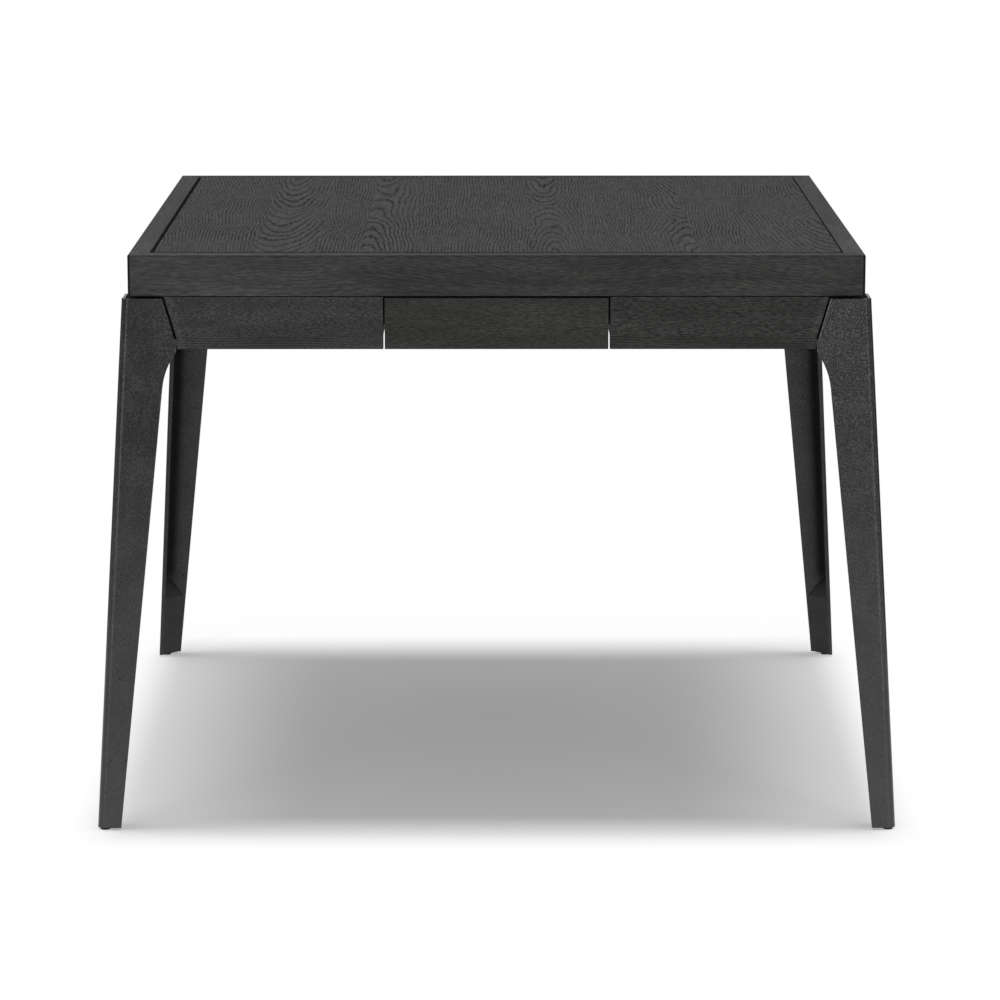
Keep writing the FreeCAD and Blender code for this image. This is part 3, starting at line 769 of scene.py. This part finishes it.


# Drawn or plated metal: fine lines and a slow dull bloom. A channel's end towards the front is painted
# black, as painted shade
def makeDrawnMetal(name, look):
    mat, tree, shader, coords = startMaterial(name, look, 1.0)
    lines = noiseOf(tree, stretched(tree, coords, look["lineStretch"]), *look["lines"])[0]
    dust = useGroup(tree, dustGroup, {"Vector": coords})["Dust"]
    bloom = calc(tree, "ADD", calc(tree, "MULTIPLY", lines, look["lineBloom"]), dust, clamp=True)
    color = mixColor(tree, bloom, look["color"], look["dull"])
    if "darkEnd" in look:
        absX, absY, _ = axesOf(tree, calcVector(tree, "ABSOLUTE", coords))
        front = rangeOf(tree, calc(tree, "MAXIMUM", absX, absY), *look["darkEnd"])
        color = mixColor(tree, front, color, look["black"])
        bloom = calc(tree, "MAXIMUM", bloom, front)
    tree.links.new(color, shader.inputs["Base Color"])
    clean, dull = look["rough"] - look["roughFall"], look["rough"] + look["roughRise"]
    tree.links.new(rangeOf(tree, bloom, 0.0, 1.0, clean, dull), shader.inputs["Roughness"])
    addBump(tree, shader, look["bump"], look["bumpDepth"], lines)
    return mat


glideLook = {
    "color": grey(0.006),
    "scuff": grey(0.022),
    "scuffStretch": (220, 900, 220),
    "scuffs": (1.0, 2.0),
    "scuffSpan": (0.55, 0.75),
    "rough": 0.6,
    "scuffRough": 0.75,
    "specular": 0.2,
}


def makeGlidePlastic(look):
    mat, tree, shader, coords = startMaterial("glidePlastic", look)
    streaks = noiseOf(tree, stretched(tree, coords, look["scuffStretch"]), *look["scuffs"])[0]
    scuffs = rangeOf(tree, streaks, *look["scuffSpan"])
    tree.links.new(mixColor(tree, scuffs, look["color"], look["scuff"]), shader.inputs["Base Color"])
    rough = rangeOf(tree, scuffs, 0.0, 1.0, look["rough"], look["scuffRough"])
    tree.links.new(rough, shader.inputs["Roughness"])
    return mat


def bothWays(name, look):
    return {True: makeSolidOak(name + "Across", look, True),
            False: makeSolidOak(name + "Deep", look, False)}


slotMaterials = {
    "leg_metal": makeLegMetal(legLook),
    "stained_plywood": makeSolidOak("stainedPly", plyLook, True),
    "glide_plastic": makeGlidePlastic(glideLook),
    "slide_steel": makeDrawnMetal("slideSteel", steelLook),
    "black_steel": makeDrawnMetal("blackSteel", blackSteelLook),
    "insert_brass": makeDrawnMetal("insertBrass", brassLook),
    "dowel_beech": makeSolidOak("beech", beechLook, True),
}
channelSteel = makeDrawnMetal("channelSteel", channelLook)
panelOak = makePanelOak(panelLook)
railOak = bothWays("oakRail", railLook)
backRailOak = makeSolidOak("oakRailBack", backRailLook, True)
apronOak = bothWays("oakApron", apronLook)
fleckedOak = bothWays("oakFlecked", fleckedApronLook)
drawerOak = bothWays("oakDrawer", drawerLook)
print("materials made")


def materialFor(name, slot):
    if name == "slide_channels":
        return channelSteel
    if slot != "black_oak":
        return slotMaterials[slot]
    if name == "top_panel":
        return panelOak
    if name == "back_rail":
        return backRailOak
    alongX = name.startswith(("front", "back"))
    if name.endswith("_rail"):
        return railOak[alongX]
    if "drawer" in name:
        return drawerOak[alongX]
    return fleckedOak[alongX] if name.endswith(("_right", "_back")) else apronOak[alongX]


def dressNodes():
    for part in frame["record"]["subparts"]:
        name, slot = part["node"], part["material_slot"]
        if slot == "felt":
            continue
        mesh = nodes[name].data
        mesh.materials.clear()
        mesh.materials.append(materialFor(name, slot))


dressNodes()
print("nodes dressed")

feltLook = {
    "edgeRound": 0.0012,
    "swell": 0.00012,
    "waveX": (23.0, 1.3),       # rate and phase of the swell, across and along
    "waveY": (19.0, -0.4),
    "count": 121,               # grid points a side
    "color": (0.022, 0.040, 0.034, 1),
    "fibre": (0.040, 0.062, 0.055, 1),
    "fibres": (900.0, 3.0, 0.65),
    "clumps": (110.0, 3.0, 0.6),
    "fibreShare": 0.65,
    "clumpShare": 0.35,
    "massSpan": (0.35, 0.65),
    "rough": 0.95,
    "specular": 0.2,
    "sheen": 0.25,
    "bump": 0.6,
    "bumpDepth": 0.0004,
}


def makeFeltCloth(look):
    mat, tree, shader, coords = startMaterial("feltCloth", look)
    shader.inputs["Sheen Weight"].default_value = look["sheen"]
    fibres = calc(tree, "MULTIPLY", noiseOf(tree, coords, *look["fibres"])[0], look["fibreShare"])
    clumps = calc(tree, "MULTIPLY", noiseOf(tree, coords, *look["clumps"])[0], look["clumpShare"])
    mass = calc(tree, "ADD", fibres, clumps)
    color = mixColor(tree, rangeOf(tree, mass, *look["massSpan"]), look["color"], look["fibre"])
    tree.links.new(color, shader.inputs["Base Color"])
    addBump(tree, shader, look["bump"], look["bumpDepth"], mass)
    return mat


# Felt laid in the playing well: a thin rounded slab. Its height is the sheet's thickness times a
# rounded edge, with a faint slow swell; grid of the two plan shares, closed by a flat underside
def addFelt(look):
    low, high = (np.array(corner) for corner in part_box("playing_felt"))
    count = look["count"]
    share = (1 - np.cos(np.linspace(0, np.pi, count))) / 2      # closer together towards the edges
    x = low[0] + (high[0] - low[0]) * share
    y = low[1] + (high[1] - low[1]) * share
    gridX, gridY = np.meshgrid(x, y)
    insideX = np.minimum(gridX - low[0], high[0] - gridX)
    insideY = np.minimum(gridY - low[1], high[1] - gridY)
    near = np.clip(1 - np.minimum(insideX, insideY) / look["edgeRound"], 0, 1)
    (rateX, phaseX), (rateY, phaseY) = look["waveX"], look["waveY"]
    waves = np.sin(gridX * rateX + phaseX) * np.cos(gridY * rateY + phaseY)
    swell = look["swell"] * (0.5 + 0.5 * waves)
    top = high[2] - look["edgeRound"] * (1 - np.sqrt(1 - near ** 2)) - swell
    upper = np.stack([gridX, gridY, top], -1).reshape(-1, 3)
    lower = np.stack([gridX, gridY, np.full_like(gridX, low[2])], -1).reshape(-1, 3)
    index = np.arange(count * count).reshape(count, count)
    quads = np.stack([index[:-1, :-1], index[:-1, 1:], index[1:, 1:], index[1:, :-1]], -1).reshape(-1, 4)
    under = quads[:, ::-1] + count * count
    rim = np.concatenate([index[0, :-1], index[:-1, -1], index[-1, :0:-1], index[:0:-1, 0]])
    ahead = np.roll(rim, -1)
    wall = np.stack([rim, rim + count * count, ahead + count * count, ahead], -1)
    points = np.concatenate([upper, lower])
    faces = np.concatenate([quads, under, wall])
    mesh = bpy.data.meshes.new("playingFeltSheet")
    mesh.from_pydata(points.tolist(), [], faces.tolist())
    mesh.shade_smooth()
    felt = bpy.data.objects.new("playingFeltSheet", mesh)
    scene.collection.objects.link(felt)
    mesh.materials.append(makeFeltCloth(look))
    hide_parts("playing_felt")
    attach(felt, "table_frame")


addFelt(feltLook)
print("felt laid")
